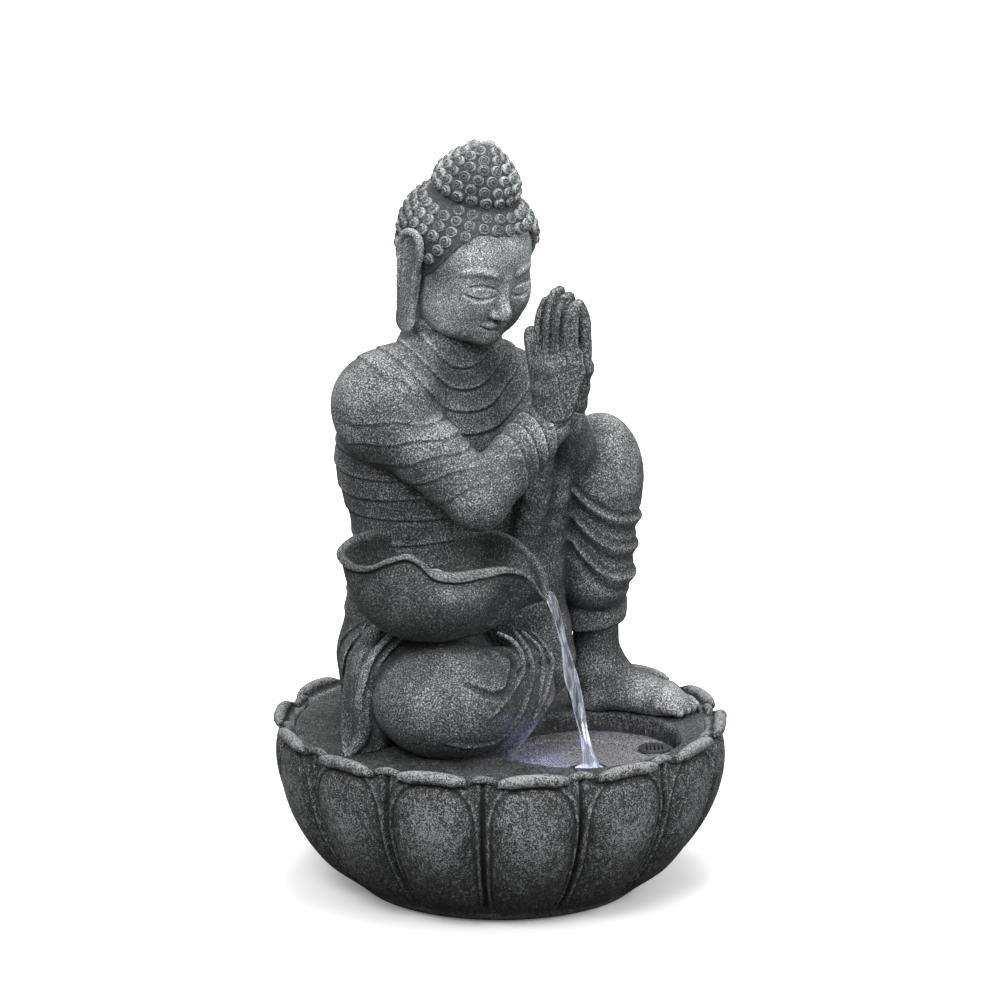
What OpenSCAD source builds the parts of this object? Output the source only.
// Tabletop water fountain: a kneeling figure with joined hands beside a leaf-shaped pouring bowl,
// seated in a lotus basin. A small submersible pump under the figure feeds the bowl through a tube.
// Millimetres, +Z up, -Y is the front, origin at the centre of the rest plane.

/* [Basin] */
// Height of the petal tips above the table
basin_h = 93; // [91:1:96]
// Radius at the fullest part of the petals
rim_r = 120; // [118:1:122]
// Radius of the flat underside
base_r = 72; // [70:1:78]
// Number of large petals around the basin
petals = 14; // [12:2:16]
// How far a petal bulges out of the wall
petal_bulge = 4; // [2:0.5:5]
// Height of the deck that the figure sits on
deck_z = 85; // [84:0.5:86]

/* [Pool] */
// Radius of the pool in the deck
pool_r = 46; // [42:1:46]
// Depth of the pool below the deck
pool_depth = 10; // [8:1:11]

/* [Figure] */
// Wall of the castings
wall = 7; // [6:0.5:8]
// Height of the top knot above the table
figure_top = 397; // [395:1:399]
// Radius of the right knee
knee_r = 36; // [34:1:37]

/* [Leaf bowl] */
// Height of the bowl's rim
bowl_z = 187; // [186:1:188]
// Depth of the bowl
bowl_depth = 40; // [38:1:42]
// Reach of the spout beyond the bowl
spout_reach = 21; // [18:1:23]

/* [Pump] */
// Inside radius of the outlet tube
tube_r = 4; // [3.5:0.25:4]
// Wall of the outlet tube
tube_wall = 1.5; // [1:0.25:1.5]
// Radius of the impeller
impeller_r = 10; // [8:0.5:10.5]
// Number of impeller blades
blades = 5; // [3:1:7]

/* [Cable outlet] */
// Radius of the hole that the supply cord passes through
cord_hole_r = 2.6; // [2:0.1:3]

/* [Hidden] */
$fn = 48;
gap = 0.2;              // glue or sliding gap between neighbouring castings
tiny = 0.01;

// Basin
pad_h = 2;
pad_circle = 58;
ledge_z = deck_z - 6;   // the deck is 6 thick and stands on this ledge
ledge_r = 103;
seat_r = 108;
floor_z = 9;
petal_phase = 8.4;      // turn of the first petal from the front
outlet_z = 68;          // height of the cable outlet
outlet_in = 103.5;      // flat seats inside and outside the wall there
outlet_out = 112;

// Pool
pool_at = [48, -24];
pool_floor = deck_z - pool_depth;
led_at = [46, -55];
drain_at = [81, -14];
drain_r = 7;

// Figure: it faces along "facing", and "side" points to its left
facing = [0.72, -0.69, 0];
side = [0.69, 0.72, 0];
yaw = atan2(side[1], side[0]);
neck = [-27, 4, 284];
neck_joint = 303;       // the head is a casting of its own above this plane
hand_joint = 262;       // and so are the hands
pelvis = [-37, 28, 116];
belly = [-36, 13, 168];
chest = [-35, 8, 224];
right_shoulder = [-59, -32, 267];
left_shoulder = [11, 39, 266];
right_elbow = [-11, -60, 220];
left_elbow = [38, 4, 222];
wrist = [28, -37, 256];
right_knee = [-24, -48, 113];
left_knee = [51, 6, 221];
left_shin = [49, 15, 165];
left_cuff = [49, 26, 138];
left_ankle = [56, 29, 112];
left_toes = [97, 20, 91];
head = [-17, -8, 329];
nod = 20;
cavity_at = [-34, 26];
cavity_r = 30;

// Access door in the back of the figure
door_x = [-61, -9];
door_z = [95, 141];
door_y = 61;
door_rim = 6.5;         // the flange that the door closes against
magnet_r = 2.3;

// Leaf bowl
bowl_at = [-39, -51];
bowl_rx = 41;
bowl_ry = 33;
lobes = [[52, 8], [125, 9], [182, 5], [232, 11], [305, 3]]; // direction and height of the waves of its rim
inlet_z = 168;

// Pump: the rotor's axis runs along Y
pump_x = -34;
pump_z = 31;
volute_y = [19, 28];
motor_back = 54;
tube_y = 25.3;
pump_w = 36;
pump_low = 15;
pump_high = 47;
shaft_r = 1.2;
nozzle_top = 58;

// Leads, as a few points that a smooth curve passes through
lead_r = 1.6;
led_lead_points = [
    [46, -55, 64.6], [46, -55, 56], [44, -50, 36], [32, -30, 16], [14, 10, 12], [12, 46, 17], [8, 68, 48],
    [6, 75, 66], [6, 80.3, 68],
];
pump_lead_points = [
    [-34, 50, 20], [-34, 57, 20], [-32, 66, 26], [-20, 72, 46], [-8, 75, 64], [-6, 80.3, 68],
];

// ---------- shared shapes ----------

// A skin over rings of equal point counts: capped at both ends, or closed from the last ring to the first
module skin(rings, loop = false) {
    n = len(rings[0]);
    m = len(rings);
    points = [for (ring = rings) for (p = ring) p];
    sides = [
        for (j = [0 : loop ? m - 1 : m - 2]) for (i = [0 : n - 1]) for (half = [0, 1])
            let (k = (j + 1) % m, a = j * n + i, b = j * n + (i + 1) % n,
                 c = k * n + i, d = k * n + (i + 1) % n)
                half == 0 ? [a, c, d] : [a, d, b]
    ];
    caps = loop ? [] : [[for (i = [0 : n - 1]) i], [for (i = [n - 1 : -1 : 0]) (m - 1) * n + i]];
    polyhedron(points, concat(sides, caps));
}

// A point on the smooth curve through points p, with t from 0 to len(p) - 1
function curve(p, t) =
    let (i = min(floor(t), len(p) - 2), s = t - i, a = p[max(i - 1, 0)], b = p[i], c = p[i + 1],
         d = p[min(i + 2, len(p) - 1)])
    0.5 * (2 * b + (c - a) * s + (2 * a - 5 * b + 4 * c - d) * s * s + (3 * b - a - 3 * c + d) * s * s * s);

// One ring of a round cord at t along the curve
function cord_ring(p, t, r, n) =
    let (ahead = curve(p, min(t + 0.05, len(p) - 1)) - curve(p, max(t - 0.05, 0)),
         along = ahead / norm(ahead),
         u0 = cross(along, [0.98, 0.1, 0.17]), u = u0 / norm(u0), v = cross(along, u))
    [for (i = [0 : n - 1]) curve(p, t) + r * (u * cos(360 * i / n) - v * sin(360 * i / n))];

module lead(p, r, n = 8, steps = 5) {
    skin([for (k = [0 : (len(p) - 1) * steps]) cord_ring(p, k / steps, r, n)]);
}

// An ellipsoid at p with radii r, turned about Z
module blob(p, r, turn = 0, n = 22) {
    radii = is_list(r) ? r : [r, r, r];
    translate(p) rotate(turn) scale(radii) sphere(1, $fn = n);
}

module limb(a, ra, b, rb, turn = 0) {
    hull() {
        blob(a, ra, turn);
        blob(b, rb, turn);
    }
}

module tube_y(r, y0, y1) {
    translate([pump_x, y1, pump_z]) rotate([90, 0, 0]) cylinder(r = r, h = y1 - y0);
}

// ---------- basin ----------

function wall_r(z) =
    let (full = rim_r - petal_bulge)
    full - (full - base_r) * pow(max(0, (80 - z) / 80), 2.3);

// 1 along the middle of a petal, 0 in the groove between two
function petal(a) =
    let (p = (a + 90 - petal_phase) * petals / 360, d = 2 * abs(p - round(p)))
    1 - d * d * d;

function tip_z(a) = basin_h - 5 * (1 - abs(cos((a + 90 - petal_phase) * petals)));

function basin_section(a, steps = 9) = [
    for (j = [0 : steps])
        let (t = j / steps, z = pad_h + (tip_z(a) - pad_h) * t,
             r = wall_r(z) + petal_bulge * petal(a) * min(1, 4 * t) + (t == 1 ? -1 : 0))
        [r, z],
    [seat_r + 2, tip_z(a) - 0.5],
    [seat_r, tip_z(a) - 3],
    [seat_r, ledge_z],
    [ledge_r, ledge_z],
    [ledge_r, 60],
    for (z = [46, 32, 20, floor_z]) [wall_r(z) - wall - 2, z],
];

module basin_shell() {
    around = petals * 8;
    sections = [for (i = [0 : around - 1]) basin_section(360 * i / around)];
    skin([
        for (j = [0 : len(sections[0]) - 1])
            [for (i = [0 : around - 1])
                let (a = 360 * i / around, q = sections[i][j]) [q[0] * cos(a), q[0] * sin(a), q[1]]]
    ]);
}

module along_y(r, y0, y1, z) {
    translate([0, y1, z]) rotate([90, 0, 0]) cylinder(r = r, h = y1 - y0);
}

module lotus_basin() {
    color("dimgray") difference() {
        basin_shell();
        along_y(8, 96, outlet_in, outlet_z);
        along_y(8, outlet_out, 130, outlet_z);
        along_y(4.6, 96, 130, outlet_z);
    }
}

module base_pads() {
    color("black") for (i = [0 : 3])
        rotate(45 + 90 * i) translate([pad_circle, 0, 0]) cylinder(r = 8, h = pad_h);
}

module cable_grommet() {
    color("black") difference() {
        union() {
            along_y(4.55, outlet_in - tiny, outlet_out + tiny, outlet_z);
            along_y(7, outlet_in - 2, outlet_in, outlet_z);
            along_y(7, outlet_out, outlet_out + 2, outlet_z);
        }
        along_y(cord_hole_r, 90, 130, outlet_z);
    }
}

module basin_deck() {
    color("dimgray") difference() {
        union() {
            translate([0, 0, ledge_z]) cylinder(r = seat_r - gap, h = deck_z - ledge_z);
            translate([pool_at[0], pool_at[1], pool_floor - 4])
                cylinder(r = pool_r + 3, h = deck_z - pool_floor);
        }
        translate([pool_at[0], pool_at[1], pool_floor]) cylinder(r = pool_r, h = 20);
        translate([cavity_at[0], cavity_at[1], 60]) cylinder(r = cavity_r - 2, h = 40);
        translate([led_at[0], led_at[1], 60]) cylinder(r = 9.2, h = 30);
        translate([drain_at[0], drain_at[1], 60]) cylinder(r = drain_r, h = 30);
        translate([0, 76, ledge_z - tiny]) cylinder(r = 1.25, h = 4);
    }
}

module pool_strainer() {
    color("darkslategray") translate([drain_at[0], drain_at[1], pool_floor]) difference() {
        union() {
            cylinder(r = drain_r + 1.5, h = 1.2);
            translate([0, 0, -3.8]) cylinder(r = drain_r - 0.3, h = 3.8 + tiny);
        }
        translate([0, 0, -5]) cylinder(r = drain_r - 1.8, h = 5);
        for (x = [-4 : 2 : 4]) translate([x - 0.5, -5, -1]) cube([1, 10, 4]);
    }
}

// ---------- figure ----------

module seat() {
    hull() {
        blob(pelvis, [50, 47, 38]);
        translate([pelvis[0], pelvis[1], deck_z]) scale([48, 45, 1]) cylinder(r = 1, h = 5, $fn = 28);
    }
}

module torso() {
    limb(pelvis, [48, 40, 30], belly, [46, 36, 30]);
    limb(belly, [46, 36, 28], chest, [52, 40, 34], yaw);
    hull() {
        blob(right_shoulder, 24);
        blob(left_shoulder, 24);
        blob(chest + [0, 0, 20], [46, 29, 26], yaw);
    }
    limb(neck - [0, 0, 10], [30, 25, 14], neck + [4, -4, 24], [15.5, 15.5, 14]);
}

module arms() {
    limb(right_shoulder, 24, right_elbow, 16);
    limb(right_elbow, 16, wrist - side * 5, 12);
    limb(left_shoulder, 24, left_elbow, 16);
    limb(left_elbow, 16, wrist + side * 5, 12);
    // sleeve that hangs between the arms and the raised knee
    limb(wrist + [-2, 6, -16], [6, 12, 8], [6, -6, 172], [7, 14, 8]);
}

module folded_leg() {
    limb([-46, 12, 118], [38, 38, 32], right_knee + [-2, 0, 0], [43, knee_r, 29]);
    hull() {
        blob(right_knee, [43, knee_r, 29]);
        translate([right_knee[0] - 2, right_knee[1] + 2, deck_z])
            scale([35, 28, 1]) cylinder(r = 1, h = 3, $fn = 24);
    }
    // cloth gathered between the two legs
    hull() {
        blob(right_knee + [38, 14, -2], [16, 18, 20]);
        translate([right_knee[0] + 34, right_knee[1] + 16, deck_z]) cylinder(r = 15, h = 3, $fn = 20);
    }
    // tail of the robe on the deck
    hull() {
        blob([-65, -8, 138], [21, 20, 18]);
        blob([-74, -24, 96], [10, 12, 10]);
        translate([-78, -46, deck_z]) cylinder(r = 7, h = 3, $fn = 16);
    }
}

module raised_leg() {
    limb([-6, 44, 128], 32, left_knee + [-4, 7, -7], 21);
    limb(left_knee, [23, 24, 28], left_shin, [21.5, 22, 20]);
    limb(left_shin, [21.5, 22, 20], left_cuff, [16.5, 17, 6]);
    hull() {
        translate(left_cuff - [0, 0, 4]) cylinder(r = 17.5, h = 16, $fn = 24);
    }
    limb(left_ankle + [-4, 0, 20], [12, 13, 8], left_ankle - [3, 0, 12], [13, 13, 14]);
    hull() {
        blob(left_ankle + [4, 0, -8], [14, 12, 12]);
        blob(left_toes, [9, 13, 5.5]);
        translate([48, 31, deck_z]) cylinder(r = 9, h = 3, $fn = 16);
        translate([94, 20, deck_z]) cylinder(r = 11, h = 2, $fn = 16);
    }
}

// The casting is hollow: the chimney over the pump, the trunk and the folded leg
module figure_cavity() {
    hull() {
        translate([cavity_at[0], cavity_at[1], deck_z - 1]) cylinder(r = cavity_r, h = 36, $fn = 28);
        blob([-34, 16, 184], [30, 20, 14], 0, 18);
    }
    limb([-34, 16, 184], [30, 20, 14], chest + [0, 0, -2], [43, 31, 24], yaw);
    hull() {
        blob(right_knee + [-2, 2, -4], [34, 27, 18], 0, 18);
        blob([-46, 8, 106], [28, 26, 18], 0, 18);
        translate([right_knee[0] - 4, right_knee[1] + 4, deck_z - 1])
            scale([28, 21, 1]) cylinder(r = 1, h = 4, $fn = 20);
        translate([-44, 8, deck_z - 1]) cylinder(r = 22, h = 4, $fn = 20);
    }
}

module door_block(grow) {
    translate([door_x[0] - grow, door_y - grow, door_z[0] - grow])
        cube([door_x[1] - door_x[0] + 2 * grow, 60, door_z[1] - door_z[0] + 2 * grow]);
}

module door_window() {
    translate([door_x[0] + door_rim, 30, door_z[0] + door_rim])
        cube([door_x[1] - door_x[0] - 2 * door_rim, 60, door_z[1] - door_z[0] - 2 * door_rim]);
}

// Places for the magnet pairs that hold the door, one in the middle of each side
module at_magnets(y) {
    for (x = [door_x[0] + door_rim / 2, door_x[1] - door_rim / 2])
        translate([x, y, (door_z[0] + door_z[1]) / 2]) rotate([90, 0, 0]) children();
}

module figure_body() {
    color("gray") difference() {
        union() {
            seat();
            torso();
            arms();
            folded_leg();
            raised_leg();
        }
        translate([-150, -150, deck_z - 60]) cube([300, 300, 60]);
        translate([-150, -150, neck_joint]) cube([300, 300, 60]);
        translate([wrist[0] - 20, wrist[1] - 20, hand_joint]) cube([40, 40, 30]);
        figure_cavity();
        door_block(0.4);
        door_window();
        at_magnets(door_y - 0.4 + tiny) cylinder(r = magnet_r + 0.1, h = 2.2, $fn = 20);
        bowl_envelope(gap);
        translate([pump_x, 0, inlet_z]) rotate([90, 0, 0]) cylinder(r = 5.4, h = 40, $fn = 24);
        translate([pump_x, 12, inlet_z]) rotate([90, 0, 0]) cylinder(r = 10, h = 19, $fn = 24);
        head_spigot(gap);
        hand_pins(gap);
    }
}

module access_door() {
    color("gray") difference() {
        intersection() {
            seat();
            door_block(0);
        }
        // finger notch along the top edge
        translate([(door_x[0] + door_x[1]) / 2 - 8, door_y + 5, door_z[1] - 3]) cube([16, 16, 6]);
        at_magnets(door_y + 2.2) cylinder(r = magnet_r + 0.1, h = 2.4, $fn = 20);
    }
}

module door_magnets() {
    color("silver") at_magnets(door_y + 2.1) cylinder(r = magnet_r, h = 2);
}

module frame_magnets() {
    color("silver") at_magnets(door_y - 0.5) cylinder(r = magnet_r, h = 2);
}

module head_spigot(grow) {
    translate(neck + [3, -3, -4]) cylinder(r = 9 + grow, h = 36, $fn = 24);
}

// Skull, hair, top knot and ears, about the middle of the head, looking along -Y
module head_shape() {
    knot = (figure_top - head[2] - 5 - 8 * sin(nod)) / cos(nod);
    limb([0, 2, 14], [32, 34, 30], [0, -9, -24], [17, 17, 15]);
    limb([0, 5, 18], [37, 37, 22], [0, 8, 28], [33, 32, 20]);
    limb([0, 14, -2], [33, 26, 20], [0, 14, 18], [35, 26, 20]);
    limb([0, 9, 40], [22, 21, 11], [0, 10, 48], [20, 19, 10]);
    limb([0, 9, 50], [17, 16, 8], [0, 8, knot], [5, 5, 5]);
    for (s = [-1, 1]) limb([s * 36, 4, 14], [3.5, 8, 10], [s * 37, 1, -26], [4.5, 6, 8]);
    limb([0, -28, 6], [3, 4, 3], [0, -32, -8], [6, 5, 4]);
}

module figure_head() {
    color("gray") difference() {
        union() {
            limb(neck + [4, -4, 20], [15.5, 15.5, 14], head + [0, 2, -10], [18, 18, 14], yaw);
            translate(head) rotate(yaw) rotate([nod, 0, 0]) head_shape();
        }
        translate([-80, -80, 200]) cube([160, 160, neck_joint + gap - 200]);
        head_spigot(0);
    }
}

// Dowel that joins head and body
module neck_dowel() {
    color("burlywood") head_spigot(-gap / 2);
}

// ---------- joined hands ----------

module hand_pins(grow) {
    for (s = [-1, 1])
        translate(wrist + side * 5.5 * s + [0, 0, -8]) cylinder(r = 4 + grow, h = 24, $fn = 16);
}

module one_hand(s) {
    out = side * s;
    palm = wrist + [2, -1, 22];
    hull() {
        blob(wrist + out * 5.5 + [0, 0, 7], [7, 8, 5], yaw, 14);
        blob(palm + out * 5.5, [5, 13, 12], yaw, 16);
    }
    for (i = [0 : 3]) {
        root = palm + out * 4.6 + facing * (6.2 * (i - 1.5)) + [0, 0, 6];
        hull() {
            blob(root, [3.6, 3.6, 3.4], 0, 12);
            blob(root + [3 - 0.4 * i, -2, [30, 36, 35, 28][i]] - out * 1.2, 2.8, 0, 12);
        }
    }
    hull() {
        blob(palm + out * 4 - facing * 12 + [0, 0, -6], 3.8, 0, 12);
        blob(palm + out * 3 - facing * 15 + [0, 0, 14], 3, 0, 12);
    }
}

module praying_hands() {
    color("gray") union() {
        difference() {
            union() {
                one_hand(1);
                one_hand(-1);
            }
            translate([-50, -100, 200]) cube([150, 150, hand_joint + gap - 200]);
        }
        intersection() {
            hand_pins(0);
            translate([-50, -100, 240]) cube([150, 150, 30]);
        }
    }
}

// ---------- leaf bowl ----------

// 1 in the direction of the spout, 0 away from it
function spout(a) = let (d = cos(a + 10)) d > 0 ? pow(d, 14) : 0;
// Waves of the leaf's edge
function wave(a) = let (h = [for (l = lobes) l[1] * exp(-pow((a - l[0]) / 20, 2))]) h * [for (l = lobes) 1];

// One point of the bowl's wall: t is 0 at the middle of its floor and 1 at the rim, and inset
// thickens inwards
function bowl_point(a, t, inset) =
    let (reach = 1 + 0.05 * pow(max(0, cos(a - 180)), 9),
         rx = (bowl_rx - inset) * reach + (spout_reach - inset / 2) * spout(a) * t * t * t,
         ry = (bowl_ry - inset) * reach,
         droop = 17 * spout(a) * pow(t, 8),
         fall = (bowl_depth - inset + 2) * (1 - pow(t, 2.4)))
    [
        bowl_at[0] + rx * sqrt(t) * cos(a),
        bowl_at[1] + ry * sqrt(t) * sin(a) - 8 * spout(a) * t * t,
        bowl_z + wave(a) * t * t - droop - fall + (inset > 0 ? 0 : -2 * (1 - t)),
    ];

function bowl_ring(t, inset, around = 40) = [
    for (i = [0 : around - 1]) bowl_point(360 * i / around, t, inset)
];

module bowl_envelope(grow) {
    steps = [0.02, 0.12, 0.3, 0.5, 0.7, 0.86, 1];
    rings = [for (t = steps) bowl_ring(t, -grow)];
    lift = [for (p = bowl_ring(1, -grow)) [p[0], p[1], bowl_z + 9]];
    skin(concat(rings, [lift]));
}

module leaf_bowl() {
    outer = [0.02, 0.12, 0.3, 0.5, 0.7, 0.86, 1];
    inner = [1, 0.86, 0.66, 0.45, 0.25, 0.06];
    color("gray") difference() {
        skin(concat([for (t = outer) bowl_ring(t, 0)], [for (t = inner) bowl_ring(t, 4)]));
        translate([pump_x, 10, inlet_z]) rotate([90, 0, 0]) cylinder(r = 5.2, h = 60);
        translate([pump_x, -26, inlet_z]) rotate([90, 0, 0]) cylinder(r = 8.3, h = 20);
    }
}

module bowl_inlet() {
    color("black") translate([pump_x, 0, inlet_z]) rotate([-90, 0, 0]) difference() {
        union() {
            translate([0, 0, -26]) cylinder(r = 5, h = 25);
            translate([0, 0, -29]) cylinder(r = 8, h = 3.01);
            translate([0, 0, -1.01]) cylinder(r = tube_r, h = 9);
        }
        translate([0, 0, -30]) cylinder(r = tube_r - 1.2, h = 45);
    }
}

module inlet_nut() {
    color("black") translate([pump_x, -5.5, inlet_z]) rotate([-90, 0, 0]) difference() {
        cylinder(r = 8, h = 4, $fn = 6);
        translate([0, 0, -1]) cylinder(r = 5.02, h = 8);
    }
}

module inlet_washer() {
    color("dimgray") translate([pump_x, -6.9, inlet_z]) rotate([-90, 0, 0]) difference() {
        cylinder(r = 8.5, h = 1.3);
        translate([0, 0, -1]) cylinder(r = 5.1, h = 4);
    }
}

// ---------- water tube ----------

bend_r = 15;

function tube_ring(r, s) =
    let (rise = inlet_z - bend_r - (nozzle_top - 8), turn = min(max(s - 1, 0), 1) * 90,
         at = s < 1 ? [tube_y, nozzle_top - 8 + rise * s]
            : s > 2 ? [tube_y - bend_r - (s - 2) * (tube_y - bend_r - 1), inlet_z]
            : [tube_y - bend_r * (1 - cos(turn)), inlet_z - bend_r * (1 - sin(turn))])
    [for (i = [0 : 15]) let (a = 22.5 * i)
        [pump_x + r * cos(a), at[0] + r * sin(a) * cos(turn), at[1] + r * sin(a) * sin(turn)]];

module water_tube() {
    steps = [0, 1, 1.2, 1.4, 1.6, 1.8, 2, 3];
    back = [for (i = [len(steps) - 1 : -1 : 0]) steps[i]];
    color("gainsboro", 0.6) skin(concat(
        [for (s = steps) tube_ring(tube_r + tube_wall, s)],
        [for (s = back) tube_ring(tube_r + 0.1, s)]
    ), loop = true);
}

module tube_clips() {
    outer = tube_r + tube_wall;
    color("silver") {
        translate([pump_x, tube_y, nozzle_top - 6]) difference() {
            cylinder(r = outer + 1, h = 4);
            translate([0, 0, -1]) cylinder(r = outer + 0.02, h = 6);
        }
        translate([pump_x, 7, inlet_z]) rotate([90, 0, 0]) difference() {
            cylinder(r = outer + 1, h = 4);
            translate([0, 0, -1]) cylinder(r = outer + 0.02, h = 6);
        }
    }
}

// ---------- pump ----------

module pump_housing() {
    color("darkslategray") difference() {
        translate([pump_x - pump_w / 2, volute_y[0], pump_low])
            cube([pump_w, motor_back - volute_y[0], pump_high - pump_low]);
        tube_y(12, volute_y[0] - 1, volute_y[1]);                      // volute chamber
        tube_y(14.6, volute_y[0] - 1, volute_y[0] + 2);                // seat of its cover
        ring_groove();
        tube_y(7.4, volute_y[1] - 1, volute_y[1] + 20);                // rotor well
        tube_y(2.6, volute_y[1] + 19, volute_y[1] + 22);               // rear bush seat
        translate([pump_x, tube_y, pump_z]) cylinder(r = 2.6, h = 20); // way out to the nozzle
        translate([pump_x, tube_y, pump_high - 1.6]) cylinder(r = 4.1, h = 5);
        stator_pocket();
        translate([pump_x - 17, motor_back - 2.5, pump_low + 1]) cube([34, 4, pump_high - pump_low - 2]);
        for (x = [-1, 1]) for (y = [-1, 1])
            translate([pump_x + x * 12, 36 + y * 12, pump_low - 1]) cylinder(r = 1.6, h = 2.5);
    }
}

// Pocket for the coils and their core, closed by the back plate
module stator_pocket() {
    outline = [[-16.8, 0], [16.8, 0], [16.8, 24], [9.2, 24], [9.2, 4], [-9.2, 4], [-9.2, 24], [-16.8, 24]];
    translate([pump_x, 53, pump_low + 3]) rotate([90, 0, 0]) linear_extrude(22) polygon(outline);
}

module ring_groove() {
    translate([pump_x, volute_y[0] + 1.9, pump_z]) rotate([-90, 0, 0]) difference() {
        cylinder(r = 14, h = 1.35);
        translate([0, 0, -1]) cylinder(r = 12.6, h = 4);
    }
}

module pump_back() {
    color("black") difference() {
        translate([pump_x - 16.8, motor_back - 2.4, pump_low + 1.2])
            cube([33.6, 2.4, pump_high - pump_low - 2.4]);
        translate([pump_x, motor_back + 1, pump_low + 5]) rotate([90, 0, 0])
            cylinder(r = lead_r + 0.05, h = 5);
    }
}

module stator_core() {
    color("gray") {
        for (s = [-1, 1]) translate([pump_x + s * 13 - 2, 33, pump_low + 6.5]) cube([4, 13, 19.5]);
        translate([pump_x - 15, 33, pump_low + 3.2]) cube([30, 13, 3.3 + tiny]);
    }
}

module stator_coils() {
    color("darkorange") for (s = [-1, 1]) difference() {
        translate([pump_x + s * 13 - 3.6, 31.4, pump_low + 9]) cube([7.2, 16.2, 15]);
        translate([pump_x + s * 13 - 2.1, 32.9, pump_low + 5]) cube([4.2, 13.2, 24]);
    }
}

module rotor_magnet() {
    color("dimgray") difference() {
        tube_y(6.6, volute_y[1] + 1, volute_y[1] + 18);
        tube_y(shaft_r + 0.06, 0, 60);
    }
}

module impeller() {
    color("white") difference() {
        union() {
            tube_y(impeller_r, volute_y[1] - 1, volute_y[1]);
            tube_y(6.6, volute_y[1] - tiny, volute_y[1] + 1);
            tube_y(2.6, volute_y[0] + 3.5, volute_y[1]);
            for (i = [0 : blades - 1])
                translate([pump_x, volute_y[0] + 3.5, pump_z]) rotate([0, 360 * i / blades, 0])
                    translate([1, 0, -0.6]) cube([impeller_r - 1.2, volute_y[1] - volute_y[0] - 4, 1.2]);
        }
        tube_y(shaft_r + 0.06, 0, 60);
    }
}

module impeller_shaft() {
    color("ivory") tube_y(shaft_r, volute_y[0] + 0.5, volute_y[1] + 21.5);
}

module shaft_bushes() {
    color("black") difference() {
        union() {
            tube_y(2.55, volute_y[1] + 19, volute_y[1] + 21.9);
            tube_y(2.4, volute_y[0] + 0.2, volute_y[0] + 3);
        }
        tube_y(shaft_r, volute_y[0] - 1, volute_y[1] + 21.5);
    }
}

module volute_cover() {
    color("black") difference() {
        tube_y(14.4, volute_y[0], volute_y[0] + 2);
        for (i = [0 : 2])
            translate([pump_x, volute_y[0] - 1, pump_z]) rotate([0, 60 + 120 * i, 0]) translate([5.5, 0, 0])
                rotate([-90, 0, 0]) cylinder(r = 2.2, h = 5);
        tube_y(2.45, volute_y[0] - 1, volute_y[0] + 4);
    }
}

module volute_ring() {
    color("black") translate([pump_x, volute_y[0] + 2.62, pump_z]) rotate([90, 0, 0])
        rotate_extrude() translate([13.3, 0]) circle(0.6, $fn = 24);
}

module intake_cover() {
    color("darkslategray") difference() {
        translate([pump_x - pump_w / 2, 6, pump_low])
            cube([pump_w, volute_y[0] - 6 - gap, pump_high - pump_low]);
        translate([pump_x - pump_w / 2 + 2, 8, pump_low + 2])
            cube([pump_w - 4, 20, pump_high - pump_low - 4]);
        for (i = [-2 : 2]) for (s = [-1, 1])
            translate([pump_x + s * 12 - 3.5, 4, pump_z + i * 5 - 1]) cube([7, 6, 2]);
        tube_y(2.1, 4, 10);
    }
}

module filter_sponge() {
    color("dimgray") difference() {
        translate([pump_x - pump_w / 2 + 2.4, 11, pump_low + 2.4])
            cube([pump_w - 4.8, 6.2, pump_high - pump_low - 4.8]);
        tube_y(4, 4, 30);
    }
}

module flow_dial() {
    color("black") {
        tube_y(7, 3.2, 5.8);
        tube_y(2, 5.7, 9.5);
        translate([pump_x - 1, 1.6, pump_z - 6]) cube([2, 1.8, 12]);
    }
}

module outlet_nozzle() {
    color("black") translate([pump_x, tube_y, 0]) difference() {
        union() {
            translate([0, 0, pump_high - 1.6]) cylinder(r = 4.05, h = 1.6 + tiny);
            translate([0, 0, pump_high]) cylinder(r = 6.5, h = 2 + tiny);
            translate([0, 0, pump_high + 2]) cylinder(r = tube_r, h = nozzle_top - pump_high - 2);
        }
        cylinder(r = tube_r - 1.2, h = 80);
    }
}

module suction_cups() {
    color("gray") for (x = [-1, 1]) for (y = [-1, 1])
        translate([pump_x + x * 12, 36 + y * 12, floor_z]) difference() {
            union() {
                cylinder(r1 = 6, r2 = 3, h = 4);
                translate([0, 0, 4 - tiny]) cylinder(r = 3, h = pump_low - floor_z - 4 + tiny);
                translate([0, 0, pump_low - floor_z - tiny]) cylinder(r = 1.5, h = 1.3);
            }
            translate([0, 0, -tiny]) cylinder(r1 = 4.6, r2 = 1, h = 2);
        }
}

// ---------- light ----------

module led_housing() {
    color("white") translate([led_at[0], led_at[1], pool_floor]) difference() {
        union() {
            cylinder(r = 11.5, h = 1.5);
            translate([0, 0, -13]) cylinder(r = 8.8, h = 13 + tiny);
        }
        translate([0, 0, -10]) cylinder(r = 7.2, h = 14);
        translate([0, 0, -14]) cylinder(r = lead_r + 0.05, h = 6);
    }
}

module led_gasket() {
    color("black") translate([led_at[0], led_at[1], pool_floor - 4.9]) difference() {
        cylinder(r = 12, h = 0.8);
        translate([0, 0, -1]) cylinder(r = 8.85, h = 3);
    }
}

module led_nut() {
    color("white") translate([led_at[0], led_at[1], pool_floor - 9]) difference() {
        cylinder(r = 13, h = 4, $fn = 6);
        translate([0, 0, -1]) cylinder(r = 8.85, h = 6);
    }
}

module led_lens() {
    color("aliceblue", 0.5) translate([led_at[0], led_at[1], pool_floor]) rotate_extrude()
        polygon(concat([[0, -4]], [[7.1, -4], [7.1, 1.6], [8, 1.6]],
            [for (a = [0 : 15 : 90]) [8 * cos(a), 1.7 + 2.3 * sin(a)]]));
}

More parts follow.
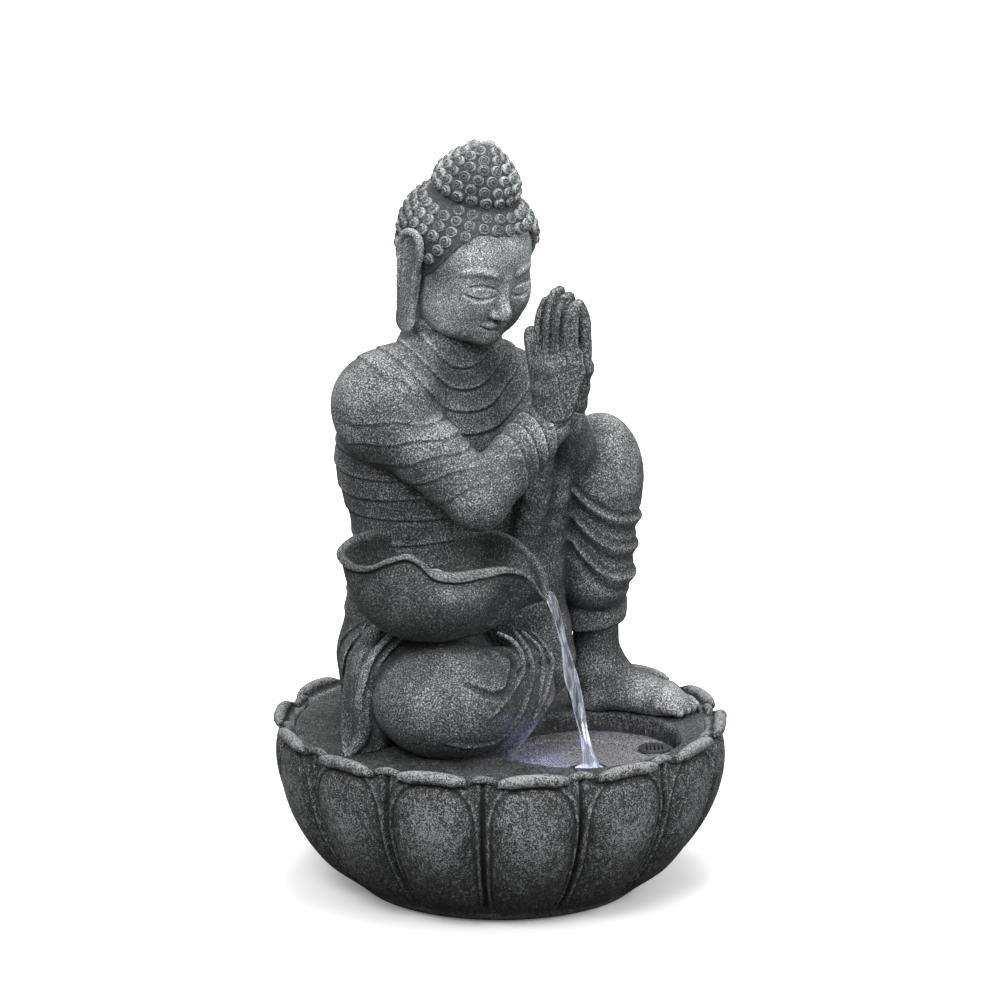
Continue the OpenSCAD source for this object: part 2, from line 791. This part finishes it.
module led_board() {
    color("seagreen") translate([led_at[0], led_at[1], pool_floor - 9.9]) cylinder(r = 7, h = 1.2);
}

module led_chips() {
    color("lightyellow") for (i = [0 : 2])
        translate([led_at[0], led_at[1], pool_floor - 8.7]) rotate(120 * i) translate([3.5, 0, 0])
            translate([-1.4, -1.4, 0]) cube([2.8, 2.8, 1.6]);
}

module led_lead() {
    color("black") lead(led_lead_points, lead_r);
}

module pump_lead() {
    color("black") lead(pump_lead_points, lead_r);
}

module lead_splice() {
    color("black") {
        translate([-12, 82, outlet_z - 6]) cube([24, 12, 15.6]);
        for (s = [-1, 1]) translate([s * 6, 82 + tiny, outlet_z])
            rotate([90, 0, 0]) cylinder(r = 2.6, h = 1.6);
    }
}

module splice_clip() {
    color("silver") difference() {
        union() {
            translate([-13.6, 72, ledge_z - 1.2]) cube([27.2, 20, 1.2 - tiny]);
            for (s = [-1, 1]) translate([s * 12.9 - 0.7, 84, outlet_z - 7.4])
                cube([1.4, 8, ledge_z - outlet_z + 6.4]);
            translate([-13.6, 84, outlet_z - 7.4]) cube([27.2, 8, 1.2]);
        }
        translate([0, 76, 60]) cylinder(r = 1.6, h = 40);
    }
}

module clip_screw() {
    color("silver") translate([0, 76, ledge_z - 1.2]) {
        translate([0, 0, -0.5]) cylinder(r = 1.2, h = 4.9);
        translate([0, 0, -1.6]) cylinder(r = 2.8, h = 1.6);
    }
}

// ---------- falling water ----------

function fall(t) = [23 + 25 * sqrt(t) * (0.6 + 0.4 * t), -62 - 4 * t, 172 - (172 - pool_floor - 2) * t];

module water_stream() {
    steps = 14;
    color("lightblue", 0.4) skin([
        for (k = [0 : steps])
            let (t = k / steps, p = fall(t), w = 3.2 + 3.2 * t, d = 1.6 + 1.2 * t)
            [for (i = [0 : 9]) p + [w * cos(36 * i), d * sin(36 * i), 0]]
    ]);
}

lotus_basin();
base_pads();
basin_deck();
pool_strainer();
figure_body();
figure_head();
neck_dowel();
praying_hands();
leaf_bowl();
access_door();
door_magnets();
frame_magnets();
bowl_inlet();
inlet_nut();
inlet_washer();
pump_housing();
stator_core();
stator_coils();
rotor_magnet();
impeller();
impeller_shaft();
shaft_bushes();
pump_back();
volute_cover();
volute_ring();
intake_cover();
filter_sponge();
flow_dial();
outlet_nozzle();
suction_cups();
water_tube();
tube_clips();
led_housing();
led_lens();
led_board();
led_chips();
led_gasket();
led_nut();
led_lead();
pump_lead();
lead_splice();
splice_clip();
clip_screw();
cable_grommet();
water_stream();
